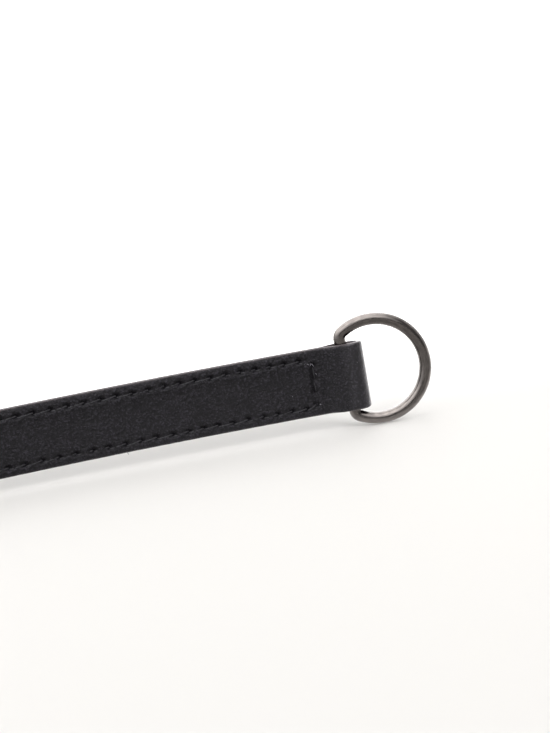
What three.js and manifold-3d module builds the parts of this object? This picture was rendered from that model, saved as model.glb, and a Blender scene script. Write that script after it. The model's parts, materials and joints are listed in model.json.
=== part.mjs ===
// A narrow black leather belt, standing on its lower edge in one wide open bend.
// Two full-length plies are stitched face to face. They open into a pocket at each end: one holds the bar of
// a bent-wire D-ring, the other the bar of a bare hook plate that the ring drops over.
// Millimetres, +Z up. The near run lies along X with the D-ring at its +X end, and its outer face looks along -Y.
import * as THREE from 'three';
import { mergeVertices } from 'three/addons/utils/BufferGeometryUtils.js';
import Module from 'manifold-3d';

// Strap
const strapLength = 840; // from fold to fold, along the middle
const strapWidth = 20;
const plyThickness = 1.5;
const edgeBevel = 0.4;
const strapStep = 6; // spacing of the plan's points along a plain run
const foldStep = 0.8; // the same in the pockets
const noseSteps = 7; // round a quarter of each fold's nose
const middleSteps = 1680; // along the middle line, half a millimetre each
const meldDistance = 1e-4; // points nearer than this are one

// D-ring, bent from round wire
const wireDiameter = 3.6;
const ringArcRadius = 14.9; // to the wire's middle
const ringBarLength = 24.2; // between the corners, at the wire's middle
const ringCornerRadius = 2.5;
const ringLean = 3.3; // degrees that the bar's top leans back over the strap
const ringDrop = 1.7; // from the strap's lower edge down to the bar's lower corner
const ringInset = 5.8; // from the fold's outer end back to the bar
const ringSides = 12;
const ringSteps = 96;

// Pockets: free space on each side of what they hold, straight stretch, and taper back to the closed strap
const pocketClearance = 0.35;
const ringPocketFlat = 7.8;
const ringPocketEnd = 13;
const platePocketFlat = 5;
const platePocketEnd = 9;

// Hook plate
const plateThickness = 2;
const plateLength = 24; // the bare face, from the slot to the tongue
const plateRail = 2.8; // metal above and below the slot
const plateBar = 3; // the slot's far bar, held in the pocket
const plateCorner = 2.5;
const slotClearance = 0.5; // around the strap, above, below and in front of the fold
const tongueWidth = 9;
const tongueLength = 8;
const hookGap = 4.6; // between the tongue and the hook's return, clear of the ring's wire
const hookReturn = 9;
const hookSteps = 10;

// How far along the strap each lifted end comes down to the surface
const ringEndRun = 340;
const plateEndRun = 160;
const liftEase = 1.5;

// The plan: the strap's heading at shares of its length, in degrees, 0 along -X and positive towards -Y.
const plan = [
  { share: 0.0, heading: 0 },
  { share: 0.07, heading: 3 },
  { share: 0.14, heading: 7 },
  { share: 0.24, heading: 5 },
  { share: 0.38, heading: -12 },
  { share: 0.62, heading: -90 },
  { share: 0.85, heading: -168 },
  { share: 1.0, heading: -180 },
];

const radians = THREE.MathUtils.degToRad;
const ringPocket = wireDiameter / 2 + pocketClearance; // half of the gap
const platePocket = plateThickness / 2 + pocketClearance;

// The strap's middle line

// A cubic through the plan's rows, with each row's slope taken from its neighbours.
function headingAt(share) {
  const slope = (row) => {
    const before = plan[Math.max(row - 1, 0)];
    const after = plan[Math.min(row + 1, plan.length - 1)];
    return (after.heading - before.heading) / (after.share - before.share);
  };
  let row = 0;
  while (row < plan.length - 2 && share > plan[row + 1].share) row++;
  const from = plan[row];
  const to = plan[row + 1];
  const span = to.share - from.share;
  const t = (share - from.share) / span;
  const rise = 3 * t * t - 2 * t * t * t;
  const leave = (t - 2 * t * t + t * t * t) * span * slope(row);
  const arrive = (t * t * t - t * t) * span * slope(row + 1);
  return radians(from.heading + (to.heading - from.heading) * rise + leave + arrive);
}

const middle = [];
for (let i = 0, at = new THREE.Vector2(); i <= middleSteps; i++) {
  const heading = headingAt(i / middleSteps);
  const along = new THREE.Vector2(-Math.cos(heading), -Math.sin(heading));
  middle.push({ s: (i / middleSteps) * strapLength, at: at.clone(), along });
  at = at.clone().addScaledVector(along, strapLength / middleSteps);
}

// A point at a distance along the strap and to the side of its middle, positive towards the outer face.
function planPoint(s, side) {
  const place = (s / strapLength) * middleSteps;
  const i = Math.min(Math.floor(place), middleSteps - 1);
  const at = middle[i].at.clone().lerp(middle[i + 1].at, place - i);
  const along = middle[i].along;
  return at.add(new THREE.Vector2(-along.y, along.x).multiplyScalar(side));
}

// Lift of the strap's lower edge: the D-ring and the plate stand on the surface and hold the two ends up.
const leanAngle = radians(ringLean);
const ringBarOffset = Math.sqrt(ringArcRadius ** 2 - (ringBarLength / 2) ** 2);
const ringCentreHeight = ringArcRadius + wireDiameter / 2;
const ringBarHeight = ringCentreHeight - ringBarOffset * Math.sin(leanAngle);
const ringEndLift = ringBarHeight - (ringBarLength / 2 - ringDrop) * Math.cos(leanAngle);
const plateEndLift = plateRail + slotClearance;

function liftAt(s) {
  const ringShare = Math.max(0, 1 - (s / ringEndRun) ** 2);
  const plateShare = Math.max(0, 1 - ((strapLength - s) / plateEndRun) ** 2);
  return ringEndLift * ringShare ** liftEase + plateEndLift * plateShare ** liftEase;
}

function nearestRun(x, y) {
  let best = middle[0];
  let least = Infinity;
  for (const sample of middle) {
    const away = (sample.at.x - x) ** 2 + (sample.at.y - y) ** 2;
    if (away < least) {
      least = away;
      best = sample;
    }
  }
  return best.s;
}

// Manifold turns a closed mesh into a solid and back, for the pockets' and the slot's cuts and the hook's join.
const wasm = await Module();
wasm.setup();

function toSolid(geometry) {
  const bare = geometry.clone();
  bare.deleteAttribute('normal');
  bare.deleteAttribute('uv');
  const merged = mergeVertices(bare, meldDistance);
  return new wasm.Manifold(
    new wasm.Mesh({
      numProp: 3,
      vertProperties: Float32Array.from(merged.attributes.position.array),
      triVerts: Uint32Array.from(merged.index.array),
    }),
  );
}

function toGeometry(solid) {
  const mesh = solid.getMesh();
  const geometry = new THREE.BufferGeometry();
  geometry.setAttribute('position', new THREE.BufferAttribute(mesh.vertProperties, 3));
  geometry.setIndex(new THREE.BufferAttribute(mesh.triVerts, 1));
  geometry.computeVertexNormals();
  return geometry;
}

// One end's fold in plan, as rows of distance from the fold's outer end and half-width of its pocket.
function foldRows(pocket, flat, end) {
  const rows = [];
  for (let i = 0; i < noseSteps; i++) {
    const angle = (i / noseSteps) * (Math.PI / 2);
    rows.push({ turn: angle, s: plyThickness + pocket * (1 - Math.cos(angle)), gap: pocket * Math.sin(angle) });
  }
  const steps = Math.ceil((end - plyThickness - pocket) / foldStep);
  for (let i = 0; i <= steps; i++) {
    const s = THREE.MathUtils.lerp(plyThickness + pocket, end, i / steps);
    rows.push({ turn: Math.PI / 2, s, gap: pocket * (1 - THREE.MathUtils.smoothstep(s, flat, end)) });
  }
  return rows;
}

// The outer skin stands one ply outside the pocket, and the nose turns about the pocket's round end.
function skinRow(row) {
  return { s: row.s - plyThickness * Math.cos(row.turn), out: row.gap + plyThickness * Math.sin(row.turn) };
}

const ringFold = foldRows(ringPocket, ringPocketFlat, ringPocketEnd);
const plateFold = foldRows(platePocket, platePocketFlat, platePocketEnd);

function strapGeometry() {
  const rows = ringFold.map(skinRow);
  const plainLength = strapLength - ringPocketEnd - platePocketEnd;
  const plainSteps = Math.round(plainLength / strapStep);
  for (let i = 1; i < plainSteps; i++) {
    rows.push({ s: ringPocketEnd + (i / plainSteps) * plainLength, out: plyThickness });
  }
  const farRows = plateFold.map(skinRow).map((row) => ({ s: strapLength - row.s, out: row.out }));
  rows.push(...farRows.reverse());
  const outer = rows.map((row) => planPoint(row.s, row.out));
  const inner = rows.slice(1, -1).map((row) => planPoint(row.s, -row.out));
  const blank = new THREE.ExtrudeGeometry(new THREE.Shape([...outer, ...inner.reverse()]), {
    depth: strapWidth - 2 * edgeBevel,
    bevelEnabled: true,
    bevelThickness: edgeBevel,
    bevelSize: edgeBevel,
    bevelOffset: -edgeBevel,
    bevelSegments: 1,
    curveSegments: 1,
  });
  blank.translate(0, 0, edgeBevel);

  const pocket = (fold, place) => {
    const open = fold.slice(0, -1);
    const far = open.map((row) => planPoint(place(row.s), row.gap));
    const near = open.slice(1).map((row) => planPoint(place(row.s), -row.gap));
    const cut = new THREE.ExtrudeGeometry(new THREE.Shape([...far, ...near.reverse()]), {
      depth: strapWidth * 2,
      bevelEnabled: false,
    });
    cut.translate(0, 0, -strapWidth / 2);
    return toSolid(cut);
  };
  const solid = toSolid(blank)
    .subtract(pocket(ringFold, (s) => s))
    .subtract(pocket(plateFold, (s) => strapLength - s));
  const geometry = toGeometry(solid);
  const position = geometry.attributes.position;
  for (let i = 0; i < position.count; i++) {
    const lift = liftAt(nearestRun(position.getX(i), position.getY(i)));
    position.setZ(i, position.getZ(i) + lift);
  }
  return geometry;
}

// The D-ring in its own plane: x away from the bar, y along it, the bar's middle at the origin.
function ringGeometry() {
  const bend = ringCornerRadius;
  const bendY = Math.sqrt((ringArcRadius - bend) ** 2 - (ringBarOffset - bend) ** 2);
  const bendAngle = Math.atan2(bendY, bend - ringBarOffset);
  const line = new THREE.Path();
  line.moveTo(0, bendY);
  line.lineTo(0, -bendY);
  line.absarc(bend, -bendY, bend, Math.PI, 2 * Math.PI - bendAngle, false);
  line.absarc(ringBarOffset, 0, ringArcRadius, -bendAngle, bendAngle, false);
  line.absarc(bend, bendY, bend, bendAngle, Math.PI, false);
  const points = line.getSpacedPoints(ringSteps).slice(0, ringSteps);
  const curve = new THREE.CatmullRomCurve3(
    points.map((p) => new THREE.Vector3(p.x, 0, p.y)),
    true,
  );
  return new THREE.TubeGeometry(curve, ringSteps, wireDiameter / 2, ringSides, true);
}

// The plate in its own frame: x along the belt away from the strap, z up, y through its thickness with the outer
// face at +y. x is 0 at the strap fold's outer end.
const slotLength = strapWidth + 2 * slotClearance;
const plateHeight = slotLength + 2 * plateRail;
// The bar's corners meet the pocket's round end this far out of its middle.
const noseDepth = platePocket - Math.sqrt(platePocket ** 2 - (plateThickness / 2) ** 2);
const slotStart = -plyThickness - noseDepth - pocketClearance;
const barStart = slotStart - plateBar;
const slotEnd = slotClearance;
const plateEnd = slotEnd + plateLength;

function roundedRectangle(x0, x1, height, corner) {
  const half = height / 2;
  const shape = new THREE.Shape();
  shape.moveTo(x0 + corner, -half);
  shape.lineTo(x1 - corner, -half);
  shape.absarc(x1 - corner, -half + corner, corner, -Math.PI / 2, 0, false);
  shape.absarc(x1 - corner, half - corner, corner, 0, Math.PI / 2, false);
  shape.absarc(x0 + corner, half - corner, corner, Math.PI / 2, Math.PI, false);
  shape.absarc(x0 + corner, -half + corner, corner, Math.PI, Math.PI * 1.5, false);
  return shape;
}

function plateGeometry() {
  const face = roundedRectangle(barStart, plateEnd, plateHeight, plateCorner);
  const plate = new THREE.ExtrudeGeometry(face, { depth: plateThickness, bevelEnabled: false, curveSegments: 6 });
  plate.translate(0, 0, -plateThickness / 2);
  const slotWidth = slotEnd - slotStart;
  const slot = new THREE.BoxGeometry(slotWidth, slotLength, plateThickness * 2);
  slot.translate(slotStart + slotWidth / 2, 0, 0);

  // The hook in profile: a flat tongue, a round turn towards the inner side, and the return beside it.
  const innerTurn = hookGap / 2;
  const outerTurn = innerTurn + plateThickness;
  const turnX = plateEnd + tongueLength;
  const top = plateThickness / 2;
  const turnY = -top - innerTurn;
  const profile = new THREE.Shape();
  profile.moveTo(plateEnd - plateThickness, top);
  profile.lineTo(turnX, top);
  profile.absarc(turnX, turnY, outerTurn, Math.PI / 2, -Math.PI / 2, true);
  profile.lineTo(turnX - hookReturn, turnY - outerTurn);
  profile.lineTo(turnX - hookReturn, turnY - innerTurn);
  profile.absarc(turnX, turnY, innerTurn, -Math.PI / 2, Math.PI / 2, false);
  profile.lineTo(plateEnd - plateThickness, -top);
  const hook = new THREE.ExtrudeGeometry(profile, {
    depth: tongueWidth,
    bevelEnabled: false,
    curveSegments: hookSteps,
  });
  hook.rotateX(Math.PI / 2);
  hook.translate(0, tongueWidth / 2, 0);

  const solid = toSolid(plate).subtract(toSolid(slot)).add(toSolid(hook));
  const geometry = toGeometry(solid);
  geometry.rotateX(-Math.PI / 2); // stands it up: the outer face turns to +y
  return geometry;
}

// Materials
const leather = new THREE.MeshStandardMaterial({ color: 0x1d1c1e, roughness: 0.55, metalness: 0 });
const gunmetal = new THREE.MeshStandardMaterial({ color: 0x5a5754, roughness: 0.25, metalness: 1 });

// Assembly
const belt = new THREE.Group();

function addMesh(name, geometry, material, parent) {
  const mesh = new THREE.Mesh(geometry, material);
  mesh.name = name;
  parent.add(mesh);
  return mesh;
}

addMesh('strap', strapGeometry(), leather, belt);

const ringPivot = new THREE.Group();
ringPivot.position.set(-ringInset, 0, ringBarHeight);
ringPivot.rotation.y = -leanAngle;
belt.add(ringPivot);
addMesh('d_ring', ringGeometry(), gunmetal, ringPivot);

const farEnd = middle[middleSteps];
const plateSeat = new THREE.Group();
plateSeat.position.set(farEnd.at.x, farEnd.at.y, plateHeight / 2);
plateSeat.rotation.z = Math.atan2(farEnd.along.y, farEnd.along.x);
belt.add(plateSeat);
addMesh('hook_plate', plateGeometry(), gunmetal, plateSeat);

// The origin is under the middle of the belt's box, on the surface that it stands on.
belt.updateMatrixWorld(true);
const size = new THREE.Box3().setFromObject(belt, true);
const group = new THREE.Group();
belt.position.set(-(size.min.x + size.max.x) / 2, -(size.min.y + size.max.y) / 2, -size.min.z);
group.add(belt);

export default group;
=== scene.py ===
"""A narrow black leather belt standing on its edge, seen at its D-ring end.

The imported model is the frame: it gives each piece its place, and this script gives the looks. Lengths are
in metres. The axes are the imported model's own, +Z up, with the D-ring's run along X and its outer face
towards -Y.
"""

import json
import math

import bmesh
import bpy
import numpy as np
from mathutils import Matrix, Vector


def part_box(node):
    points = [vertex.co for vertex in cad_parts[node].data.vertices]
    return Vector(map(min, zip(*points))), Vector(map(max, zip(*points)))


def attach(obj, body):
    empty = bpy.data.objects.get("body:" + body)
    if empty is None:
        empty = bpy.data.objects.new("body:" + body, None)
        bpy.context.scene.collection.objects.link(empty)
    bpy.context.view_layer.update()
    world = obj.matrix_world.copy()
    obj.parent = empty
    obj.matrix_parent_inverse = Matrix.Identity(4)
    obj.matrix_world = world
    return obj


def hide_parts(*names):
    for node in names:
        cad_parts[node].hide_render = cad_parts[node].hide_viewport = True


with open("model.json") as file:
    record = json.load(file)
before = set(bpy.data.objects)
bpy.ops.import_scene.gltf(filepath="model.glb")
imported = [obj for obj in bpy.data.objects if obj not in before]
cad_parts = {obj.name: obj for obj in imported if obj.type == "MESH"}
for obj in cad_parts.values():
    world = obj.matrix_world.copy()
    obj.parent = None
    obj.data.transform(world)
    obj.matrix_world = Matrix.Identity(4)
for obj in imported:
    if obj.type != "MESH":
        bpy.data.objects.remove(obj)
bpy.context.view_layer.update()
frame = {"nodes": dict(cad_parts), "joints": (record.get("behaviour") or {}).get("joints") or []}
strap_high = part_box("strap")[1]
ring_swing = frame["joints"][0]
MM = 0.001

# Camera
# A short telephoto close to the strap and just above it, rolled so that the strap climbs to the right.
# It is aimed by the picture point of the fold's outer end, at half the strap's width.
PICTURE = (550, 733)
FOLD_END_PIXEL = (366.5, 372.9)
SENSOR = 0.036
CAMERA_DISTANCE = 0.375
CAMERA_ELEVATION = math.radians(8)
CAMERA_TURN = math.radians(-1.7)  # round the belt, from square on
CAMERA_ROLL = math.radians(-9.8)
PIXELS_PER_METRE = 3363
STRAP_WIDTH = 20 * MM

fold_end = Vector((strap_high.x, ring_swing["pos_m"][1], strap_high.z - STRAP_WIDTH / 2))
level_right = Vector((math.cos(CAMERA_TURN), math.sin(CAMERA_TURN), 0))
level_back = Vector((math.sin(CAMERA_TURN), -math.cos(CAMERA_TURN), 0))
camera_back = level_back * math.cos(CAMERA_ELEVATION) + Vector((0, 0, math.sin(CAMERA_ELEVATION)))
level_up = camera_back.cross(level_right)
camera_right = level_right * math.cos(CAMERA_ROLL) + level_up * math.sin(CAMERA_ROLL)
camera_up = camera_back.cross(camera_right)
across = (FOLD_END_PIXEL[0] - PICTURE[0] / 2) / PIXELS_PER_METRE
above = (PICTURE[1] / 2 - FOLD_END_PIXEL[1]) / PIXELS_PER_METRE
aim = fold_end - camera_right * across - camera_up * above

camera_data = bpy.data.cameras.new("camera")
camera_data.sensor_width = SENSOR * 1000
camera_data.lens = PIXELS_PER_METRE * CAMERA_DISTANCE * SENSOR * 1000 / PICTURE[1]
camera_data.clip_start = 0.01
camera = bpy.data.objects.new("camera", camera_data)
bpy.context.scene.collection.objects.link(camera)
turn = Matrix((camera_right, camera_up, camera_back)).transposed()
camera.matrix_world = Matrix.Translation(aim + camera_back * CAMERA_DISTANCE) @ turn.to_4x4()
bpy.context.scene.camera = camera


# Studio
# White paper with one large soft light in front, low and a little to the right, so that the belt's shadow
# falls behind it. Behind the belt the paper glows by its own emission, as painted light. The room that the
# belt mirrors is bright overhead and to the left, and dim behind the camera.
def srgb(code):
    """An sRGB hex colour such as '1c1b1d' as linear red, green, blue and alpha."""
    channels = [int(code[i : i + 2], 16) / 255 for i in (0, 2, 4)]
    linear = [c / 12.92 if c <= 0.04045 else ((c + 0.055) / 1.055) ** 2.4 for c in channels]
    return (*linear, 1.0)


def add_node(tree, kind, links=None, **settings):
    """Adds a node with its settings, and links or sets its inputs by name or number."""
    made = tree.nodes.new(kind)
    for name, value in settings.items():
        setattr(made, name, value)
    for socket, value in (links or {}).items():
        if isinstance(value, bpy.types.NodeSocket):
            tree.links.new(value, made.inputs[socket])
        else:
            made.inputs[socket].default_value = value
    return made


def new_mesh(name, vertices, faces):
    """A smooth mesh object at the origin, with its place in its mesh."""
    mesh = bpy.data.meshes.new(name)
    mesh.from_pydata([tuple(v) for v in vertices], [], [tuple(f) for f in faces])
    mesh.update()
    mesh.shade_smooth()
    made = bpy.data.objects.new(name, mesh)
    bpy.context.scene.collection.objects.link(made)
    return made


FLOOR_HALF = 6.0
FLOOR_CORNERS = ((-1, -1), (1, -1), (1, 1), (-1, 1))
PAPER_GLOW = 0.9
PAPER_GLOW_RUN = 0.25  # from the belt's near run back to where the paper glows in full
# Painted reflection: close in front of the belt the paper glows more, but only in what is mirrored.
PAPER_REFLECTED_GLOW = 1.3  # added to the paper close to the belt where polished metal mirrors it
PAPER_REFLECTED_GLOW_NEAR = 2 * MM  # in front of the near run, where the gleam is full
PAPER_REFLECTED_GLOW_FAR = 14 * MM  # and where it begins
floor_points = [(x * FLOOR_HALF, y * FLOOR_HALF, 0) for x, y in FLOOR_CORNERS]
floor = new_mesh("floor", floor_points, [(0, 1, 2, 3)])
paper = bpy.data.materials.new("white_paper")
paper.use_nodes = True
paper_tree = paper.node_tree
paper_shader = paper_tree.nodes["Principled BSDF"]
paper_place = add_node(paper_tree, "ShaderNodeTexCoord")
paper_parts = add_node(paper_tree, "ShaderNodeSeparateXYZ", {0: paper_place.outputs["Object"]})
# Painted light: the paper glows by its own emission, from nothing at the belt's near run to full behind it.
glow = add_node(
    paper_tree,
    "ShaderNodeMapRange",
    {
        "Value": paper_parts.outputs["Y"],
        "From Min": fold_end.y,
        "From Max": fold_end.y + PAPER_GLOW_RUN,
        "To Max": PAPER_GLOW,
    },
    interpolation_type="SMOOTHSTEP",
)
reflected_glow = add_node(
    paper_tree,
    "ShaderNodeMapRange",
    {
        "Value": paper_parts.outputs["Y"],
        "From Min": fold_end.y - PAPER_REFLECTED_GLOW_FAR,
        "From Max": fold_end.y - PAPER_REFLECTED_GLOW_NEAR,
        "To Max": PAPER_REFLECTED_GLOW,
    },
    interpolation_type="SMOOTHSTEP",
)
# The paper's emission: the painted reflection in front for mirrored rays only, and the painted light
# behind.
paper_seen = add_node(paper_tree, "ShaderNodeLightPath")
paper_light = add_node(
    paper_tree,
    "ShaderNodeMath",
    {0: reflected_glow.outputs[0], 1: paper_seen.outputs["Is Glossy Ray"], 2: glow.outputs[0]},
    operation="MULTIPLY_ADD",
)
paper_shader.inputs["Base Color"].default_value = srgb("dddbd8")
paper_shader.inputs["Roughness"].default_value = 0.7
paper_shader.inputs["Emission Color"].default_value = srgb("ffffff")
paper_tree.links.new(paper_light.outputs[0], paper_shader.inputs["Emission Strength"])
floor.data.materials.append(paper)

KEY_SIZE = (1.3, 0.95)
KEY_DISTANCE = 2.25
KEY_ELEVATION = math.radians(27)
KEY_SIDE = 0.35  # how far to the right, for each unit away
KEY_RADIANCE = 12.2
key_from = Vector((KEY_SIDE, -math.cos(KEY_ELEVATION), math.sin(KEY_ELEVATION))).normalized()
key_data = bpy.data.lights.new("front_softbox", "AREA")
key_data.shape = "RECTANGLE"
key_data.size, key_data.size_y = KEY_SIZE
key_data.energy = KEY_RADIANCE * math.pi * KEY_SIZE[0] * KEY_SIZE[1]
key = bpy.data.objects.new("front_softbox", key_data)
key.location = Vector((fold_end.x, fold_end.y, 0)) + key_from * KEY_DISTANCE
key.rotation_mode = "QUATERNION"
key.rotation_quaternion = key_from.to_track_quat("Z", "Y")
key.visible_glossy = False
bpy.context.scene.collection.objects.link(key)

# The room's brightness as matt surfaces see it, in front and behind the belt.
ROOM_FILL = 0.9
ROOM_FILL_REAR = 0.15
FILL_RAMP = (-0.1, 0.6)
# The same as the leather's gloss and the metal mirror it. A ramp goes from start to end along one axis of
# the direction: y is -1 behind the camera and 1 behind the belt, x is -1 to the left, and z is its height.
ROOM_DIM = 0.3
ROOM_LEFT = 2.2
LEFT_RAMP = (-0.05, -0.95)
ROOM_REAR = 2.2
REAR_RAMP = (-0.5, 0.3)
ROOM_TOP = 6.6
TOP_RAMP = (0.12, 0.72)
STRIP_MIDDLE = -0.4  # the ceiling's bright part runs from front to back, to the left of the belt
STRIP_RAMP = (0.62, 1.05)  # away from its middle
BACKDROP = 1.1
world = bpy.data.worlds.new("studio_room")
world.use_nodes = True
bpy.context.scene.world = world
room = world.node_tree
room.nodes.clear()
look = add_node(room, "ShaderNodeTexCoord")
look_parts = add_node(room, "ShaderNodeSeparateXYZ", {0: look.outputs["Generated"]})
rearward = add_node(
    room,
    "ShaderNodeMapRange",
    {"Value": look_parts.outputs["Y"], "From Min": REAR_RAMP[0], "From Max": REAR_RAMP[1]},
    interpolation_type="SMOOTHSTEP",
)
upward = add_node(
    room,
    "ShaderNodeMapRange",
    {"Value": look_parts.outputs["Z"], "From Min": TOP_RAMP[0], "From Max": TOP_RAMP[1]},
    interpolation_type="SMOOTHSTEP",
)
leftward = add_node(
    room,
    "ShaderNodeMapRange",
    {
        "Value": look_parts.outputs["X"],
        "From Min": LEFT_RAMP[0],
        "From Max": LEFT_RAMP[1],
        "To Min": ROOM_DIM,
        "To Max": ROOM_LEFT,
    },
    interpolation_type="SMOOTHSTEP",
)
low_level = add_node(
    room,
    "ShaderNodeMapRange",
    {"Value": rearward.outputs[0], "To Min": leftward.outputs[0], "To Max": ROOM_REAR},
)
off_strip = add_node(
    room, "ShaderNodeMath", {0: look_parts.outputs["X"], 1: STRIP_MIDDLE}, operation="SUBTRACT"
)
off_strip_size = add_node(room, "ShaderNodeMath", {0: off_strip.outputs[0]}, operation="ABSOLUTE")
on_strip = add_node(
    room,
    "ShaderNodeMapRange",
    {
        "Value": off_strip_size.outputs[0],
        "From Min": STRIP_RAMP[0],
        "From Max": STRIP_RAMP[1],
        "To Min": 1.0,
        "To Max": 0.0,
    },
    interpolation_type="SMOOTHSTEP",
)
strip = add_node(
    room, "ShaderNodeMath", {0: upward.outputs[0], 1: on_strip.outputs[0]}, operation="MULTIPLY"
)
room_level = add_node(
    room,
    "ShaderNodeMapRange",
    {"Value": strip.outputs[0], "To Min": low_level.outputs[0], "To Max": ROOM_TOP},
)
seen = add_node(room, "ShaderNodeLightPath")
fill_level = add_node(
    room,
    "ShaderNodeMapRange",
    {
        "Value": look_parts.outputs["Y"],
        "From Min": FILL_RAMP[0],
        "From Max": FILL_RAMP[1],
        "To Min": ROOM_FILL,
        "To Max": ROOM_FILL_REAR,
    },
    interpolation_type="SMOOTHSTEP",
)
mirrored = add_node(
    room,
    "ShaderNodeMix",
    {0: seen.outputs["Is Glossy Ray"], 2: fill_level.outputs[0], 3: room_level.outputs[0]},
    data_type="FLOAT",
)
shown = add_node(
    room,
    "ShaderNodeMix",
    {0: seen.outputs["Is Camera Ray"], 2: mirrored.outputs[0], 3: BACKDROP},
    data_type="FLOAT",
)
backdrop = add_node(room, "ShaderNodeBackground", {"Color": srgb("ffffff"), "Strength": shown.outputs[0]})
add_node(room, "ShaderNodeOutputWorld", {"Surface": backdrop.outputs[0]})
bpy.context.scene.view_settings.view_transform = "Standard"


# Strap
# Two plies of black full-grain cowhide, each folded round what it holds at its ends, glued back to back,
# stitched along both edges and painted on the cut edges. Its line repeats the frame's: an open bend on its
# lower edge.
STRAP_LENGTH = 840 * MM
PLY = 1.5 * MM
RING_POCKET = 2.15 * MM  # half of its inside
RING_POCKET_FLAT = 7.8 * MM  # from the fold's end to where the pocket starts to close
RING_POCKET_END = 13 * MM  # and to where it is closed
PLATE_POCKET = 1.35 * MM
PLATE_POCKET_FLAT = 5 * MM
PLATE_POCKET_END = 9 * MM
RING_END_LIFT = strap_high.z - STRAP_WIDTH
RING_END_RUN = 340 * MM
PLATE_END_LIFT = 3.3 * MM
PLATE_END_RUN = 160 * MM
LIFT_EASE = 1.5
# The plan: the strap's heading in degrees, 0 along -X and positive towards -Y, at shares of its length.
PLAN_SHARES = np.array([0.0, 0.07, 0.14, 0.24, 0.38, 0.62, 0.85, 1.0])
PLAN_HEADINGS = np.radians([0.0, 3.0, 7.0, 5.0, -12.0, -90.0, -168.0, -180.0])

MIDDLE_STEPS = 1680
middle_shares = np.arange(MIDDLE_STEPS + 1) / MIDDLE_STEPS
last = len(PLAN_SHARES) - 1
before = np.maximum(np.arange(last + 1) - 1, 0)
after = np.minimum(np.arange(last + 1) + 1, last)
plan_slopes = PLAN_HEADINGS[after] - PLAN_HEADINGS[before]
plan_slopes /= PLAN_SHARES[after] - PLAN_SHARES[before]
row = np.clip(np.searchsorted(PLAN_SHARES, middle_shares, "left") - 1, 0, last - 1)
span = PLAN_SHARES[row + 1] - PLAN_SHARES[row]
part = (middle_shares - PLAN_SHARES[row]) / span
headings = (
    PLAN_HEADINGS[row]
    + (PLAN_HEADINGS[row + 1] - PLAN_HEADINGS[row]) * (3 * part**2 - 2 * part**3)
    + (part - 2 * part**2 + part**3) * span * plan_slopes[row]
    + (part**3 - part**2) * span * plan_slopes[row + 1]
)
middle_along = np.stack([-np.cos(headings), -np.sin(headings)], 1)
middle_at = np.zeros((MIDDLE_STEPS + 1, 2))
middle_at[1:] = np.cumsum(middle_along[:-1], 0) * (STRAP_LENGTH / MIDDLE_STEPS)
middle_at += (strap_high.x, ring_swing["pos_m"][1])


def strap_place(s, side, height):
    """Points along the strap, to the side of its middle, outer face positive, and above its lower edge."""
    s, side, height = np.broadcast_arrays(s, side, height)
    steps = s / STRAP_LENGTH * MIDDLE_STEPS
    i = np.clip(np.floor(steps).astype(int), 0, MIDDLE_STEPS - 1)
    mix = (steps - i)[..., None]
    at = middle_at[i] * (1 - mix) + middle_at[i + 1] * mix
    along = middle_along[i] * (1 - mix) + middle_along[i + 1] * mix
    ring_share = np.clip(1 - (s / RING_END_RUN) ** 2, 0, None)
    plate_share = np.clip(1 - ((STRAP_LENGTH - s) / PLATE_END_RUN) ** 2, 0, None)
    lift = RING_END_LIFT * ring_share**LIFT_EASE + PLATE_END_LIFT * plate_share**LIFT_EASE
    x = at[..., 0] - along[..., 1] * side
    y = at[..., 1] + along[..., 0] * side
    return np.stack([x, y, height + lift], -1)


# The stitch holes: two rows along the edges and one across at each end of the closed strap.
UPPER_MARGIN = 2.95 * MM
LOWER_MARGIN = 2.65 * MM
CROSS_LOW = 3.4 * MM  # the seam turns into its cross row a little inside both rows
CROSS_HIGH = 15.4 * MM
STITCH_PITCH = 4.7 * MM
PITCH_DRIFT = 0.08  # share by which the pitch drifts over DRIFT_LENGTH, as the photo's rows do
DRIFT_LENGTH = 250 * MM
RING_ROW = 15.0 * MM
RING_CROSS = (16.3 * MM, 15.5 * MM)  # the cross row near the ring leans, from low corner to high corner
PLATE_ROW = STRAP_LENGTH - 10.6 * MM
CROSS_STITCHES = 3
HOLE_JITTER = 0.12 * MM
rng = np.random.RandomState(11)

hole_run = [RING_ROW]
while hole_run[-1] < PLATE_ROW - 1.5 * STITCH_PITCH:
    drift = 1 - PITCH_DRIFT * math.cos(2 * math.pi * hole_run[-1] / DRIFT_LENGTH)
    hole_run.append(hole_run[-1] + STITCH_PITCH * drift)
hole_run = np.append(hole_run, PLATE_ROW)
cross_heights = np.linspace(CROSS_LOW, CROSS_HIGH, CROSS_STITCHES + 1)
row_heights = (LOWER_MARGIN, STRAP_WIDTH - UPPER_MARGIN)


def jitter(count):
    return rng.uniform(-HOLE_JITTER, HOLE_JITTER, (count, 2))


holes = []
stitch_rows = []
for height, corner_height, corner_run in zip(row_heights, (CROSS_LOW, CROSS_HIGH), RING_CROSS):
    line = np.stack([hole_run, np.full(len(hole_run), height)], 1)
    line[1:-1] += jitter(len(line) - 2)
    line[0, 0] = corner_run
    line[[0, -1], 1] = corner_height
    stitch_rows.append(line)
    holes.append(line)
for low_run, high_run in (RING_CROSS, (PLATE_ROW, PLATE_ROW)):
    line = np.stack([np.linspace(low_run, high_run, CROSS_STITCHES + 1), cross_heights], 1)
    line[1:-1] += jitter(CROSS_STITCHES - 1)
    stitch_rows.append(line)
    holes.append(line[1:-1])
holes = np.concatenate(holes)

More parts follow.
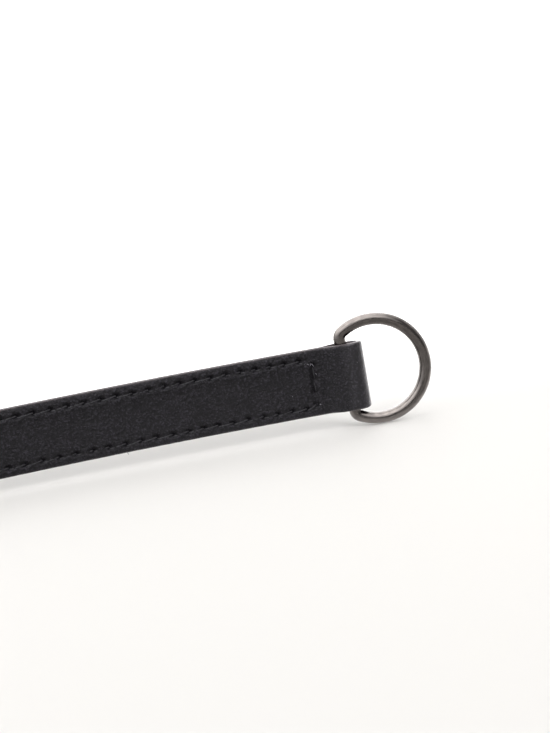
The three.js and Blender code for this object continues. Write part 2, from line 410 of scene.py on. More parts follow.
# The skin's relief: a pricked dimple at each hole, the leather drawn down along the rows and raised round
# the holes, and a slow unevenness of the hide.
HOLE_DEPTH = 0.75 * MM
HOLE_HALF = (0.78 * MM, 0.66 * MM)
HOLE_SHADE = 0.2 * MM  # how far above its middle a hole is darkest: its lower wall faces the light
CHANNEL_DEPTH = 0.14 * MM
CROSS_CHANNEL = 0.04 * MM
CHANNEL_HALF = 0.7 * MM
PUCKER_RISE = 0.16 * MM
PUCKER_REACH = 2.2  # from a hole's middle, in halves of the hole
LIP_RISE = 0.2 * MM  # the needle pushes up the lower side of each hole
LIP_BELOW = 1.7  # from a hole's middle, in halves of the hole
LIP_SHARPNESS = 1.6
EDGE_DROP = 0.16 * MM
EDGE_REACH = 2.2 * MM
HIDE_WAVE = 0.05 * MM
# Along and up the strap, how far a wave takes to turn by one radian.
LONG_WAVE = (9.1 * MM, 6.3 * MM)
LONG_WAVE_DRIFT = 31 * MM
LONG_WAVE_START = 1.3
SHORT_WAVE = (4.3 * MM, 5.2 * MM)
SHORT_WAVE_SHARE = 0.7
SHORT_WAVE_BEND = 2.0


def relief(s, height):
    """Height of the outer skin over its flat, and each point's share of a hole's painted shade, 0 to 1."""
    rise = np.zeros(np.broadcast(s, height).shape)
    stitched = (s > RING_ROW - CHANNEL_HALF) & (s < PLATE_ROW + CHANNEL_HALF)
    for row_height in row_heights:
        rise -= stitched * CHANNEL_DEPTH * np.exp(-(((height - row_height) / CHANNEL_HALF) ** 2))
    inside = (height > CROSS_LOW) & (height < CROSS_HIGH)
    for place in (sum(RING_CROSS) / 2, PLATE_ROW):
        rise -= inside * CROSS_CHANNEL * np.exp(-(((s - place) / CHANNEL_HALF) ** 2))
    pit = np.zeros_like(rise)
    pucker = np.zeros_like(rise)
    lip = np.zeros_like(rise)
    shade = np.zeros_like(rise)
    order = np.argsort(s[:, 0])
    ranked = s[order, 0]
    for hole_s, hole_height in holes:
        reach = 4 * HOLE_HALF[0]
        first, final = np.searchsorted(ranked, (hole_s - reach, hole_s + reach))
        near = order[first:final]
        if not len(near):
            continue
        away_s = (s[near] - hole_s) / HOLE_HALF[0]
        away_height = (height - hole_height) / HOLE_HALF[1]
        away = away_s**2 + away_height**2
        pit[near] = np.maximum(pit[near], np.exp(-away))
        pucker[near] = np.maximum(pucker[near], np.exp(-((np.sqrt(away) - PUCKER_REACH) ** 2)))
        from_lip = (away_height + LIP_BELOW) * LIP_SHARPNESS
        lip[near] = np.maximum(lip[near], np.exp(-(away_s**2) - from_lip**2))
        away_shade = (height - hole_height - HOLE_SHADE) / HOLE_HALF[1]
        shade[near] = np.maximum(shade[near], np.exp(-(away_s**2) - away_shade**2))
    rise += PUCKER_RISE * pucker + LIP_RISE * lip - HOLE_DEPTH * pit
    from_edge = np.minimum(height, STRAP_WIDTH - height)
    rise -= EDGE_DROP * np.clip(1 - from_edge / EDGE_REACH, 0, 1) ** 2
    waves = np.sin(s / LONG_WAVE[0] + LONG_WAVE_START) * np.cos(height / LONG_WAVE[1] + s / LONG_WAVE_DRIFT)
    bent = SHORT_WAVE_BEND * np.sin(height / SHORT_WAVE[1])
    waves += SHORT_WAVE_SHARE * np.sin(s / SHORT_WAVE[0] + bent)
    return rise + HIDE_WAVE * waves, shade


# Stations along the skin: close together where the camera looks, and gathered at the holes elsewhere.
RING_FOLD_STEP = 0.4 * MM
PLATE_FOLD_STEP = 0.5 * MM
RING_GAP_STEP = 0.45 * MM
LEAST_STEP = 0.2 * MM
CLOSE_RUN = 128 * MM
CLOSE_STATIONS = 14
FAR_OFFSETS = np.array([-0.16, 0.0, 0.16, 0.38, 0.62])  # shares of the pitch
NOSE_STATIONS = 12


def fold_stations(pocket, flat, end, step):
    """One end's stations: the pocket wall's distance from the fold's end, its half-gap and nose's turn."""
    angles = np.linspace(0, math.pi / 2, NOSE_STATIONS, endpoint=False)
    nose = np.stack([PLY + pocket * (1 - np.cos(angles)), pocket * np.sin(angles), angles], 1)
    s = np.arange(PLY + pocket, end + step / 2, step)
    share = np.clip((s - flat) / (end - flat), 0, 1)
    gap = pocket * (1 - share**2 * (3 - 2 * share))
    return np.concatenate([nose, np.stack([s, gap, np.full(len(s), math.pi / 2)], 1)])


def run_stations(close):
    """Stations between the two pockets, for the outer face if close, else for the inner one."""
    found = []
    for start, stop in zip(hole_run[:-1], hole_run[1:]):
        shares = FAR_OFFSETS
        if close and start < CLOSE_RUN:
            shares = np.arange(CLOSE_STATIONS) / CLOSE_STATIONS
        found.append(start + shares * (stop - start))
    s = np.concatenate(found)
    first = np.arange(RING_POCKET_END, s[0] - LEAST_STEP, RING_GAP_STEP)[1:]
    final = np.arange(PLATE_ROW, STRAP_LENGTH - PLATE_POCKET_END - LEAST_STEP, PLATE_FOLD_STEP)
    s = np.concatenate([first, s, final])
    return np.stack([s, np.zeros(len(s)), np.full(len(s), math.pi / 2)], 1)


ring_fold = fold_stations(RING_POCKET, RING_POCKET_FLAT, RING_POCKET_END, RING_FOLD_STEP)
plate_fold = fold_stations(PLATE_POCKET, PLATE_POCKET_FLAT, PLATE_POCKET_END, PLATE_FOLD_STEP)
plate_fold[:, 0] = STRAP_LENGTH - plate_fold[:, 0]


def face_stations(close):
    return np.concatenate([ring_fold, run_stations(close), plate_fold[::-1]])


outer_face = face_stations(True)
inner_face = face_stations(False)[1:-1][::-1]
stations = np.concatenate([outer_face, inner_face])
side_sign = np.concatenate([np.ones(len(outer_face)), -np.ones(len(inner_face))])
toward = np.where(stations[:, 0] < STRAP_LENGTH / 2, -1.0, 1.0)  # the way that each end's nose points

# Columns up the skin, then round the cut edges to the ply's hidden face.
EDGE_ROUND = 0.7 * MM
SEAM_ROUND = 0.14 * MM
SEAM_GAP = 0.015 * MM
MARGIN_COLUMN = 1.0 * MM
ROW_COLUMNS = np.array([0.24, 0.48, 0.75, 1.05, 1.5]) * MM  # on both sides of a stitch row
CROSS_COLUMNS = np.array([-0.5, 0.0, 0.5]) * MM  # round each hole of a cross row
LOW_CROSS_COLUMN = 1.8 * MM  # below the cross row's second hole
row_offsets = np.concatenate([-ROW_COLUMNS[::-1], [0.0], ROW_COLUMNS])
columns = [EDGE_ROUND, MARGIN_COLUMN]
columns += list(LOWER_MARGIN + row_offsets)
columns += [h + o for h in cross_heights[1:] for o in CROSS_COLUMNS]
columns += [cross_heights[1] - LOW_CROSS_COLUMN]
columns += list(STRAP_WIDTH - UPPER_MARGIN + row_offsets)
columns += [STRAP_WIDTH - MARGIN_COLUMN, STRAP_WIDTH - EDGE_ROUND]
columns = np.array(sorted(columns))
skin_rise, skin_shade = relief(stations[:, :1], columns[None, :])

corner = np.radians([0, 30, 60, 90])
profile_depth = [np.zeros(len(columns))]
profile_height = [columns]
profile_depth.append(EDGE_ROUND * (1 - np.cos(corner[1:])))
profile_height.append(STRAP_WIDTH - EDGE_ROUND + EDGE_ROUND * np.sin(corner[1:]))
profile_depth.append([PLY - SEAM_ROUND, PLY])
profile_height.append([STRAP_WIDTH, STRAP_WIDTH - SEAM_ROUND])
profile_depth.append([PLY, PLY - SEAM_ROUND])
profile_height.append([SEAM_ROUND, 0])
profile_depth.append(EDGE_ROUND * (1 - np.cos(corner[:0:-1])))
profile_height.append(EDGE_ROUND - EDGE_ROUND * np.sin(corner[:0:-1]))
profile_depth = np.concatenate(profile_depth)
profile_height = np.concatenate(profile_height)
skin_columns = len(columns)

rise = np.zeros((len(stations), len(profile_depth)))
rise[:, :skin_columns] = skin_rise
edge_share = np.clip(1 - profile_depth[skin_columns:] / PLY, 0, 1)
edge_end = np.where(profile_height[skin_columns:] > STRAP_WIDTH / 2, skin_columns - 1, 0)
rise[:, skin_columns:] = skin_rise[:, edge_end] * edge_share
# The nose is smooth: its relief fades out round the fold.
fade = np.where(stations[:, 2] < math.pi / 2, np.sin(stations[:, 2]), 1.0)[:, None]
outward = (PLY - profile_depth) + rise * fade
gap = np.maximum(stations[:, 1], SEAM_GAP)[:, None]
s_grid = stations[:, :1] + toward[:, None] * outward * np.cos(stations[:, 2:])
side_grid = side_sign[:, None] * (gap + outward * np.sin(stations[:, 2:]))
side_grid[stations[:, 2] == 0] = 0
points = strap_place(s_grid, side_grid, np.broadcast_to(profile_height, s_grid.shape))


def closed_tube(name, grid):
    """A piece whose skin is a grid of points that closes on itself both ways, its faces turned outwards."""
    loops, around = grid.shape[:2]
    index = np.arange(loops * around).reshape(loops, around)
    ahead = np.roll(index, -1, 0)
    faces = np.stack([index, np.roll(index, -1, 1), np.roll(ahead, -1, 1), ahead], -1)
    tube = new_mesh(name, grid.reshape(-1, 3), faces.reshape(-1, 4))
    shape = bmesh.new()
    shape.from_mesh(tube.data)
    bmesh.ops.recalc_face_normals(shape, faces=shape.faces)
    shape.to_mesh(tube.data)
    shape.free()
    return tube


def add_attribute(piece, name, values):
    stored = piece.data.attributes.new(name, "FLOAT", "POINT")
    stored.data.foreach_set("value", values.astype(np.float32).ravel())


strap = closed_tube("strap_leather", points)
FOLD_RUN = 9 * MM  # how far from the fold's end its stretched skin is smooth and shiny
# Each point's share of the stitch holes' painted shade, for the leather's colour and shine.
shade_grid = np.zeros(s_grid.shape)
shade_grid[:, :skin_columns] = skin_shade
add_attribute(strap, "stitch_hole_shade", shade_grid)
add_attribute(strap, "along", np.broadcast_to(stations[:, :1], s_grid.shape) / MM)
add_attribute(strap, "up", np.broadcast_to(profile_height, s_grid.shape) / MM)
fold_share = np.clip(1 - stations[:, :1] / FOLD_RUN, 0, 1) ** 2
add_attribute(strap, "fold", np.broadcast_to(fold_share, s_grid.shape))
cut_edge = np.zeros(s_grid.shape)
cut_edge[:, skin_columns:] = np.clip(profile_depth[skin_columns:] / EDGE_ROUND, 0, 1)
add_attribute(strap, "cut_edge", cut_edge)

# Black full-grain cowhide, drum-dyed, pressed with a fine pebble and sprayed with a thin acrylic finish:
# nearly black and half matt, with each pebble's shoulder catching the light, and polished where it is
# stretched round the fold. The attributes along and up the skin are in millimetres.
PEBBLE = 0.62 * MM
CREASE = 0.9 * MM
PORE = 0.34 * MM
GRAIN_DEPTH = 0.3 * MM
FOLD_LINES = 1.3  # lines of the stretched fold for each millimetre along the skin
FOLD_LINE_STRETCH = 0.3  # the lines run up the strap
FOLD_LINE_DEPTH = 0.35 * MM
leather = bpy.data.materials.new("black_full_grain_cowhide")
leather.use_nodes = True
tree = leather.node_tree
hide = tree.nodes["Principled BSDF"]
surface = add_node(tree, "ShaderNodeTexCoord")
pebble = add_node(
    tree,
    "ShaderNodeTexVoronoi",
    {"Vector": surface.outputs["Object"], "Scale": 1 / PEBBLE},
    feature="SMOOTH_F1",
)
creases = add_node(
    tree,
    "ShaderNodeTexNoise",
    {"Vector": surface.outputs["Object"], "Scale": 1 / CREASE, "Detail": 4.0, "Roughness": 0.7},
)
pores = add_node(
    tree,
    "ShaderNodeTexNoise",
    {"Vector": surface.outputs["Object"], "Scale": 1 / PORE, "Detail": 2.0},
)
grain = add_node(
    tree,
    "ShaderNodeMath",
    {0: pebble.outputs["Distance"], 1: -0.8, 2: creases.outputs[0]},
    operation="MULTIPLY_ADD",
)
grain_fine = add_node(
    tree, "ShaderNodeMath", {0: pores.outputs[0], 1: 0.9, 2: grain.outputs[0]}, operation="MULTIPLY_ADD"
)
fold_mask = add_node(tree, "ShaderNodeAttribute", attribute_name="fold")
# Stretched skin has hardly any grain left.
unstretched = add_node(
    tree,
    "ShaderNodeMapRange",
    {"Value": fold_mask.outputs["Fac"], "From Min": 0.12, "From Max": 0.42, "To Min": 1.0, "To Max": 0.2},
)
grain_bump = add_node(
    tree,
    "ShaderNodeBump",
    {"Strength": unstretched.outputs[0], "Distance": GRAIN_DEPTH, "Height": grain_fine.outputs[0]},
)
along_skin = add_node(tree, "ShaderNodeAttribute", attribute_name="along")
up_skin = add_node(tree, "ShaderNodeAttribute", attribute_name="up")
stretched_up = add_node(
    tree, "ShaderNodeMath", {0: up_skin.outputs["Fac"], 1: FOLD_LINE_STRETCH}, operation="MULTIPLY"
)
fold_place = add_node(
    tree, "ShaderNodeCombineXYZ", {"X": along_skin.outputs["Fac"], "Y": stretched_up.outputs[0]}
)
fold_lines = add_node(
    tree, "ShaderNodeTexNoise", {"Vector": fold_place.outputs[0], "Scale": FOLD_LINES, "Detail": 3.0}
)
fold_depth = add_node(
    tree, "ShaderNodeMath", {0: fold_lines.outputs[0], 1: fold_mask.outputs["Fac"]}, operation="MULTIPLY"
)
skin_bump = add_node(
    tree,
    "ShaderNodeBump",
    {"Distance": FOLD_LINE_DEPTH, "Height": fold_depth.outputs[0], "Normal": grain_bump.outputs[0]},
)
tone = add_node(tree, "ShaderNodeValToRGB", {"Fac": grain_fine.outputs[0]})
tone.color_ramp.elements[0].position = 0.62
tone.color_ramp.elements[0].color = srgb("000000")
tone.color_ramp.elements[1].position = 0.95
tone.color_ramp.elements[1].color = srgb("201e23")
hole_shade_mask = add_node(tree, "ShaderNodeAttribute", attribute_name="stitch_hole_shade")
edge_mask = add_node(tree, "ShaderNodeAttribute", attribute_name="cut_edge")
# Painted shade: the stitch holes are coloured darker than the leather, most a little above each hole's
# middle.
hole_shaded = add_node(
    tree,
    "ShaderNodeMix",
    {0: hole_shade_mask.outputs["Fac"], 6: tone.outputs[0], 7: srgb("0c0b0d")},
    data_type="RGBA",
)
painted = add_node(
    tree,
    "ShaderNodeMix",
    {0: edge_mask.outputs["Fac"], 6: hole_shaded.outputs[2], 7: srgb("40393a")},
    data_type="RGBA",
)
gloss = add_node(
    tree,
    "ShaderNodeMapRange",
    {"Value": creases.outputs[0], "From Min": 0.3, "From Max": 0.7, "To Min": 0.42, "To Max": 0.55},
)
fold_gloss = add_node(
    tree,
    "ShaderNodeMath",
    {0: fold_mask.outputs["Fac"], 1: -0.22, 2: gloss.outputs[0]},
    operation="MULTIPLY_ADD",
)
shine = add_node(
    tree, "ShaderNodeMath", {0: fold_mask.outputs["Fac"], 1: 0.6, 2: 0.19}, operation="MULTIPLY_ADD"
)
# Painted shade: a hole is a pit in shade, so its shine is cut down there.
out_of_hole_shade = add_node(
    tree, "ShaderNodeMath", {0: hole_shade_mask.outputs["Fac"], 1: -0.6, 2: 1.0}, operation="MULTIPLY_ADD"
)
skin_shine = add_node(
    tree, "ShaderNodeMath", {0: shine.outputs[0], 1: out_of_hole_shade.outputs[0]}, operation="MULTIPLY"
)
tree.links.new(painted.outputs[2], hide.inputs["Base Color"])
tree.links.new(fold_gloss.outputs[0], hide.inputs["Roughness"])
tree.links.new(skin_bump.outputs[0], hide.inputs["Normal"])
tree.links.new(skin_shine.outputs[0], hide.inputs["Specular IOR Level"])
hide.inputs["Specular Tint"].default_value = srgb("faf6ff")
strap.data.materials.append(leather)
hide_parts("strap")
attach(strap, "belt")

# Stitches
# Lockstitch in black bonded polyester, pulled tight so that about 0.5 mm of its thickness shows. Each
# stitch rises from one hole, lies in the leather and dives into the next, a little aslant because the
# needle turns each stitch the same way.
THREAD = 0.46 * MM
STITCH_SLANT = math.radians(8)
STITCH_SINK = 0.5 * MM  # how far the thread's ends dive under the skin
THREAD_PULL = 0.18 * MM  # the thread is drawn against the lower lip of each hole
CROSS_SUNK = 0.34 * MM  # the cross rows are sewn last and pulled tight into the leather
THREAD_CREST = -0.1  # of its thickness: the bow's handles lie just under the skin
STITCH_END = 0.46  # shares of the pitch, from a stitch's middle to its end and to its bow's handle
STITCH_HANDLE = 0.40
SLANT_WANDER = 0.05  # radians
THREAD_SIDES = 7
THREAD_STEPS = 9

seats = []
seat_along = []
seat_out = []
seat_length = []
for line, sunk in zip(stitch_rows, (0, 0, CROSS_SUNK, CROSS_SUNK)):
    for (s0, h0), (s1, h1) in zip(line[:-1], line[1:]):
        for face in (1, -1):
            pulled = np.array([h0, h1]) - THREAD_PULL
            ends = strap_place(np.array([s0, s1]), face * (PLY - sunk), pulled)
            outer = strap_place(np.array([s0, s1]), face * (PLY + MM), pulled)
            seats.append(ends.mean(0))
            seat_along.append(ends[1] - ends[0])
            seat_out.append((outer - ends).mean(0))
            seat_length.append(np.linalg.norm(ends[1] - ends[0]))
seats = np.array(seats)
seat_along = np.array(seat_along) / np.array(seat_length)[:, None]
seat_out = np.array(seat_out) / np.linalg.norm(seat_out, axis=1)[:, None]

stitches = new_mesh("stitches", seats, [])


def add_vectors(piece, name, values):
    stored = piece.data.attributes.new(name, "FLOAT_VECTOR", "POINT")
    stored.data.foreach_set("vector", values.astype(np.float32).ravel())


add_vectors(stitches, "lie", seat_along)
add_vectors(stitches, "face", seat_out)
add_attribute(stitches, "reach", np.array(seat_length))

# Black bonded polyester: a twisted thread with a slight sheen, nearly as dark as the leather.
YARN_TWIST = 0.3 * MM
YARN_DEPTH = 0.06 * MM
thread = bpy.data.materials.new("black_bonded_polyester")
thread.use_nodes = True
thread_tree = thread.node_tree
thread_shader = thread_tree.nodes["Principled BSDF"]
thread_place = add_node(thread_tree, "ShaderNodeTexCoord")
twist = add_node(
    thread_tree,
    "ShaderNodeTexNoise",
    {"Vector": thread_place.outputs["Object"], "Scale": 1 / YARN_TWIST, "Detail": 2.0},
)
thread_bump = add_node(
    thread_tree, "ShaderNodeBump", {"Strength": 0.4, "Distance": YARN_DEPTH, "Height": twist.outputs[0]}
)
thread_tone = add_node(thread_tree, "ShaderNodeValToRGB", {"Fac": twist.outputs[0]})
thread_tone.color_ramp.elements[0].position = 0.35
thread_tone.color_ramp.elements[0].color = srgb("101013")
thread_tone.color_ramp.elements[1].position = 0.7
thread_tone.color_ramp.elements[1].color = srgb("272629")
thread_tree.links.new(thread_tone.outputs[0], thread_shader.inputs["Base Color"])
thread_tree.links.new(thread_bump.outputs[0], thread_shader.inputs["Normal"])
thread_shader.inputs["Roughness"].default_value = 0.6
thread_shader.inputs["Specular IOR Level"].default_value = 0.3


def add_input(group, name, value, kind="NodeSocketFloat"):
    socket = group.interface.new_socket(name, in_out="INPUT", socket_type=kind)
    socket.default_value = value
    return socket


def bake_nodes(piece, group):
    """Replaces a piece's mesh by what its node tree makes of it, as a plain mesh."""
    modifier = piece.modifiers.new("maker", "NODES")
    modifier.node_group = group
    made = bpy.data.meshes.new_from_object(piece.evaluated_get(bpy.context.evaluated_depsgraph_get()))
    piece.modifiers.remove(modifier)
    piece.data = made
    return piece


sewing = bpy.data.node_groups.new("lockstitch", "GeometryNodeTree")
sewing.interface.new_socket("Geometry", in_out="INPUT", socket_type="NodeSocketGeometry")
add_input(sewing, "Thread", THREAD)
add_input(sewing, "Sink", STITCH_SINK)
add_input(sewing, "Slant", STITCH_SLANT)
add_input(sewing, "Seed", 3, "NodeSocketInt")
sewing.interface.new_socket("Geometry", in_out="OUTPUT", socket_type="NodeSocketGeometry")
given = add_node(sewing, "NodeGroupInput")
# One stitch of unit length along x, bowed up in z, drawn once and set on every seat.
half_thread = add_node(
    sewing, "ShaderNodeMath", {0: given.outputs["Thread"], 1: 0.5}, operation="MULTIPLY"
)
sunk = add_node(sewing, "ShaderNodeMath", {0: given.outputs["Sink"], 1: -1.0}, operation="MULTIPLY")
start = add_node(sewing, "ShaderNodeCombineXYZ", {"X": -STITCH_END, "Z": sunk.outputs[0]})
stop = add_node(sewing, "ShaderNodeCombineXYZ", {"X": STITCH_END, "Z": sunk.outputs[0]})
crest = add_node(
    sewing, "ShaderNodeMath", {0: given.outputs["Thread"], 1: THREAD_CREST}, operation="MULTIPLY"
)
rise_from = add_node(sewing, "ShaderNodeCombineXYZ", {"X": -STITCH_HANDLE, "Z": crest.outputs[0]})
fall_to = add_node(sewing, "ShaderNodeCombineXYZ", {"X": STITCH_HANDLE, "Z": crest.outputs[0]})
bow = add_node(
    sewing,
    "GeometryNodeCurvePrimitiveBezierSegment",
    {
        "Resolution": THREAD_STEPS,
        "Start": start.outputs[0],
        "Start Handle": rise_from.outputs[0],
        "End Handle": fall_to.outputs[0],
        "End": stop.outputs[0],
    },
)
# The bow is stretched to a common length before it gets its thickness, so that the thread stays round.
stretch = add_node(
    sewing, "GeometryNodeTransform", {"Geometry": bow.outputs[0], "Scale": (STITCH_PITCH, 1.0, 1.0)}
)
section = add_node(
    sewing,
    "GeometryNodeCurvePrimitiveCircle",
    {"Resolution": THREAD_SIDES, "Radius": half_thread.outputs[0]},
)
yarn = add_node(
    sewing,
    "GeometryNodeCurveToMesh",
    {"Curve": stretch.outputs[0], "Profile Curve": section.outputs[0], "Fill Caps": True},
)
lie = add_node(sewing, "GeometryNodeInputNamedAttribute", {"Name": "lie"}, data_type="FLOAT_VECTOR")
face = add_node(sewing, "GeometryNodeInputNamedAttribute", {"Name": "face"}, data_type="FLOAT_VECTOR")
reach = add_node(sewing, "GeometryNodeInputNamedAttribute", {"Name": "reach"}, data_type="FLOAT")
laid = add_node(
    sewing, "FunctionNodeAlignRotationToVector", {"Vector": lie.outputs[0]}, axis="X", pivot_axis="AUTO"
)
faced = add_node(
    sewing,
    "FunctionNodeAlignRotationToVector",
    {"Rotation": laid.outputs[0], "Vector": face.outputs[0]},
    axis="Z",
    pivot_axis="X",
)
wander = add_node(
    sewing,
    "FunctionNodeRandomValue",
    {2: -SLANT_WANDER, 3: SLANT_WANDER, "Seed": given.outputs["Seed"]},
    data_type="FLOAT",
)
aslant = add_node(
    sewing, "ShaderNodeMath", {0: given.outputs["Slant"], 1: wander.outputs[1]}, operation="ADD"
)
slant_turn = add_node(sewing, "ShaderNodeCombineXYZ", {"Z": aslant.outputs[0]})
turned = add_node(
    sewing,
    "FunctionNodeRotateRotation",
    {"Rotation": faced.outputs[0], "Rotate By": slant_turn.outputs[0]},
    rotation_space="LOCAL",
)
share_of_pitch = add_node(
    sewing, "ShaderNodeMath", {0: reach.outputs[0], 1: STITCH_PITCH}, operation="DIVIDE"
)
size = add_node(sewing, "ShaderNodeCombineXYZ", {"X": share_of_pitch.outputs[0], "Y": 1.0, "Z": 1.0})
sewn = add_node(
    sewing,
    "GeometryNodeInstanceOnPoints",
    {
        "Points": given.outputs["Geometry"],
        "Instance": yarn.outputs[0],
        "Rotation": turned.outputs[0],
        "Scale": size.outputs[0],
    },
)
real = add_node(sewing, "GeometryNodeRealizeInstances", {"Geometry": sewn.outputs[0]})
smooth = add_node(sewing, "GeometryNodeSetShadeSmooth", {"Geometry": real.outputs[0]})
coloured = add_node(sewing, "GeometryNodeSetMaterial", {"Geometry": smooth.outputs[0], "Material": thread})
add_node(sewing, "NodeGroupOutput", {0: coloured.outputs[0]})
bake_nodes(stitches, sewing)
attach(stitches, "belt")

# Thread ends
# The seam's end was cut and singed: frayed ends lie round the cross row's corners, with one loose end below
# the lower edge and a few flecks of lint. Each is a short bent fibre laid on the skin, with its place along
# and up the strap, its length and its thickness in millimetres and its turn in degrees.
FIBRES = [
    {"run": 15.2, "height": 3.4, "length": 0.5, "turn": 20, "thick": 0.32},
    {"run": 15.6, "height": 15.3, "length": 1.1, "turn": 60, "thick": 0.2},
    {"run": 16.2, "height": 15.6, "length": 0.9, "turn": 120, "thick": 0.18},
    {"run": 17.0, "height": 15.8, "length": 1.0, "turn": 35, "thick": 0.2},
    {"run": 17.9, "height": 16.1, "length": 0.8, "turn": 150, "thick": 0.16},
    {"run": 15.0, "height": 12.6, "length": 0.7, "turn": 60, "thick": 0.13},
    {"run": 23.0, "height": 7.2, "length": 0.35, "turn": 80, "thick": 0.14},
    {"run": 2.6, "height": 14.1, "length": 0.5, "turn": 70, "thick": 0.1},
    {"run": 73.8, "height": -0.1, "length": 1.3, "turn": 75, "thick": 0.18},
]
FIBRE_STEPS = 6
FIBRE_SIDES = 6
FIBRE_BEND = 0.35  # of the length, four times the rise of its middle
FIBRE_SEAT = 0.3  # of the thickness, from the skin to the fibre's middle
FIBRE_TIP = 0.05  # squared share of the thickness that is left at the tips
POCKET_FALL = 4 * MM  # from the pocket's straight stretch to where its bulge is gone
fibre_points = []
fibre_faces = []
for fibre in FIBRES:
    share = np.linspace(-0.5, 0.5, FIBRE_STEPS)
    turn = math.radians(fibre["turn"])
    bend = FIBRE_BEND * fibre["length"] * (0.25 - share**2)
    run = fibre["run"] + fibre["length"] * share * math.cos(turn) - bend * math.sin(turn)
    height = fibre["height"] + fibre["length"] * share * math.sin(turn) + bend * math.cos(turn)
    # The fold bulges, so a fibre there lies further out.
    past_flat = max(fibre["run"] * MM - RING_POCKET_FLAT, 0)
    from_nose = fibre["run"] * MM / (PLY + RING_POCKET)
    bulge = RING_POCKET * max(1 - past_flat / POCKET_FALL, 0)
    bulge *= math.sin(math.acos(max(1 - from_nose, 0)))
    line = strap_place(run * MM, PLY + bulge + fibre["thick"] * FIBRE_SEAT * MM, height * MM)
    ahead = np.gradient(line, axis=0)
    ahead /= np.linalg.norm(ahead, axis=1)[:, None]
    outward = np.cross(ahead, (0.0, 1.0, 0.0))
    outward /= np.linalg.norm(outward, axis=1)[:, None]
    second = np.cross(ahead, outward)
    taper = np.sqrt(np.clip(1 + FIBRE_TIP - (2 * share) ** 2, FIBRE_TIP, 1)) * fibre["thick"] / 2 * MM
    first = len(fibre_points)
    for place, one, two, radius in zip(line, outward, second, taper):
        for side in range(FIBRE_SIDES):
            angle = 2 * math.pi * side / FIBRE_SIDES
            fibre_points.append(place + radius * (math.cos(angle) * one + math.sin(angle) * two))
    for step in range(FIBRE_STEPS - 1):
        low = first + step * FIBRE_SIDES
        high = low + FIBRE_SIDES
        for side in range(FIBRE_SIDES):
            following = (side + 1) % FIBRE_SIDES
            fibre_faces.append((low + side, low + following, high + following, high + side))
    final = first + (FIBRE_STEPS - 1) * FIBRE_SIDES
    fibre_faces.append(tuple(first + side for side in reversed(range(FIBRE_SIDES))))
    fibre_faces.append(tuple(final + side for side in range(FIBRE_SIDES)))
fibres = new_mesh("thread_ends", fibre_points, fibre_faces)

# Singed polyester: grey where the dye has melted off.
singed = bpy.data.materials.new("singed_polyester")
singed.use_nodes = True
singed_shader = singed.node_tree.nodes["Principled BSDF"]
singed_shader.inputs["Base Color"].default_value = srgb("5e5c62")
singed_shader.inputs["Roughness"].default_value = 0.6
fibres.data.materials.append(singed)
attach(fibres, "belt")

# D-ring
# Round steel wire bent to a D, its ends butted inside the strap's fold, polished and plated in dark nickel.
# It swings about its bar, which leans a little back over the strap.
WIRE = 3.6 * MM
RING_ARC = 14.9 * MM
RING_BAR = 24.2 * MM
RING_CORNER = 2.5 * MM
WIRE_SIDES = 32
BAR_STEPS = 12
CORNER_STEPS = 12
ARC_STEPS = 144


def arc(centre_x, centre_y, radius, start_angle, stop_angle, steps):
    angles = np.linspace(start_angle, stop_angle, steps, endpoint=False)
    return np.stack([centre_x + radius * np.cos(angles), centre_y + radius * np.sin(angles), angles], 1)


arc_centre = math.sqrt(RING_ARC**2 - (RING_BAR / 2) ** 2)
bend_y = math.sqrt((RING_ARC - RING_CORNER) ** 2 - (arc_centre - RING_CORNER) ** 2)
bend_angle = math.atan2(bend_y, RING_CORNER - arc_centre)
bar_y = np.linspace(bend_y, -bend_y, BAR_STEPS, endpoint=False)
bar = np.stack([np.zeros(BAR_STEPS), bar_y, np.full(BAR_STEPS, math.pi)], 1)
ring_line = np.concatenate(
    [
        bar,
        arc(RING_CORNER, -bend_y, RING_CORNER, math.pi, 2 * math.pi - bend_angle, CORNER_STEPS),
        arc(arc_centre, 0, RING_ARC, -bend_angle, bend_angle, ARC_STEPS),
        arc(RING_CORNER, bend_y, RING_CORNER, bend_angle, math.pi, CORNER_STEPS),
    ]
)
ring_up = Vector(ring_swing["axis"]).normalized()
ring_side = Vector((0, 1, 0))
ring_out = ring_side.cross(ring_up)
pivot = np.array(ring_swing["pos_m"])
round_wire = np.linspace(0, 2 * math.pi, WIRE_SIDES, endpoint=False)
outward = np.stack([np.cos(ring_line[:, 2]), np.sin(ring_line[:, 2])], 1)
from_line = ring_line[:, None, :2] + WIRE / 2 * np.cos(round_wire)[None, :, None] * outward[:, None, :]
sideways = np.broadcast_to(WIRE / 2 * np.sin(round_wire), from_line.shape[:2])
ring_points = (
    pivot
    + from_line[..., :1] * np.array(ring_out)
    + from_line[..., 1:] * np.array(ring_up)
    + sideways[..., None] * np.array(ring_side)
)
ring = closed_tube("d_ring_wire", ring_points)

wire_steps = np.linalg.norm(np.diff(ring_line[:, :2], axis=0), axis=1)
wire_run = np.concatenate([[0], np.cumsum(wire_steps)])
add_attribute(ring, "along", np.broadcast_to(wire_run[:, None] / MM, from_line.shape[:2]))
add_attribute(ring, "around", np.broadcast_to(np.sin(round_wire * 2), from_line.shape[:2]))

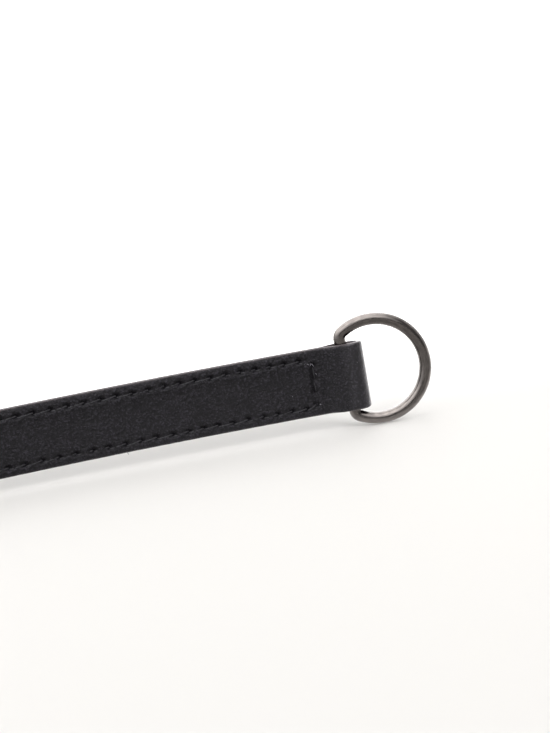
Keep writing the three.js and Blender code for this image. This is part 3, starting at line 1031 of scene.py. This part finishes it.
# Polished black nickel over drawn steel wire: a dark warm grey mirror, dulled by handling, with hair-fine
# rub marks that run along the wire.
HANDLING = 2.5 * MM
RUB_STRETCH = (0.45, 5.0, 1.0)  # rubs for each millimetre along the wire, and across it
RUB_DEPTH = 0.05 * MM
nickel = bpy.data.materials.new("polished_black_nickel")
nickel.use_nodes = True
nickel_tree = nickel.node_tree
nickel_shader = nickel_tree.nodes["Principled BSDF"]
nickel_place = add_node(nickel_tree, "ShaderNodeTexCoord")
handling = add_node(
    nickel_tree,
    "ShaderNodeTexNoise",
    {"Vector": nickel_place.outputs["Object"], "Scale": 1 / HANDLING, "Detail": 4.0, "Roughness": 0.6},
)
dulling = add_node(
    nickel_tree,
    "ShaderNodeMapRange",
    {"Value": handling.outputs[0], "From Min": 0.35, "From Max": 0.7, "To Min": 0.14, "To Max": 0.26},
)
wire_along = add_node(nickel_tree, "ShaderNodeAttribute", attribute_name="along")
wire_around = add_node(nickel_tree, "ShaderNodeAttribute", attribute_name="around")
rub_place = add_node(
    nickel_tree, "ShaderNodeCombineXYZ", {"X": wire_along.outputs["Fac"], "Y": wire_around.outputs["Fac"]}
)
rub_stretch = add_node(
    nickel_tree, "ShaderNodeVectorMath", {0: rub_place.outputs[0], 1: RUB_STRETCH}, operation="MULTIPLY"
)
rub = add_node(
    nickel_tree, "ShaderNodeTexNoise", {"Vector": rub_stretch.outputs[0], "Scale": 1.0, "Detail": 5.0}
)
nickel_bump = add_node(
    nickel_tree, "ShaderNodeBump", {"Strength": 0.6, "Distance": RUB_DEPTH, "Height": rub.outputs[0]}
)
nickel_tone = add_node(nickel_tree, "ShaderNodeValToRGB", {"Fac": rub.outputs[0]})
nickel_tone.color_ramp.elements[0].position = 0.3
nickel_tone.color_ramp.elements[0].color = srgb("444140")
nickel_tone.color_ramp.elements[1].position = 0.75
nickel_tone.color_ramp.elements[1].color = srgb("625d5a")
nickel_shader.inputs["Metallic"].default_value = 1.0
nickel_tree.links.new(nickel_tone.outputs[0], nickel_shader.inputs["Base Color"])
nickel_tree.links.new(dulling.outputs[0], nickel_shader.inputs["Roughness"])
nickel_tree.links.new(nickel_bump.outputs[0], nickel_shader.inputs["Normal"])
ring.data.materials.append(nickel)
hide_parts("d_ring")
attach(ring, "ring")

# Hook plate
# The clasp at the belt's other end: one bare plate with a slot bar held in the strap's second fold, and a
# hook that the D-ring drops over. Cast, tumbled so that its edges are soft, and plated like the ring.
PLATE_EDGE = 0.35 * MM
PLATE_CORNER = math.radians(40)  # sharper edges than this are softened
MELD = 0.001 * MM
plate_mesh = frame["nodes"]["hook_plate"].data.copy()
plate_mesh.name = "hook_plate_metal"
shape = bmesh.new()
shape.from_mesh(plate_mesh)
bmesh.ops.remove_doubles(shape, verts=shape.verts, dist=MELD)
shape.to_mesh(plate_mesh)
shape.free()
plate = bpy.data.objects.new("hook_plate_metal", plate_mesh)
bpy.context.scene.collection.objects.link(plate)
plate_mesh.materials.clear()
plate_mesh.materials.append(nickel)
softened = plate.modifiers.new("tumbled_edges", "BEVEL")
softened.width = PLATE_EDGE
softened.segments = 3
softened.limit_method = "ANGLE"
softened.angle_limit = PLATE_CORNER
plate_mesh.shade_smooth()
plate.modifiers.new("even_faces", "WEIGHTED_NORMAL")
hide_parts("hook_plate")
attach(plate, "belt")
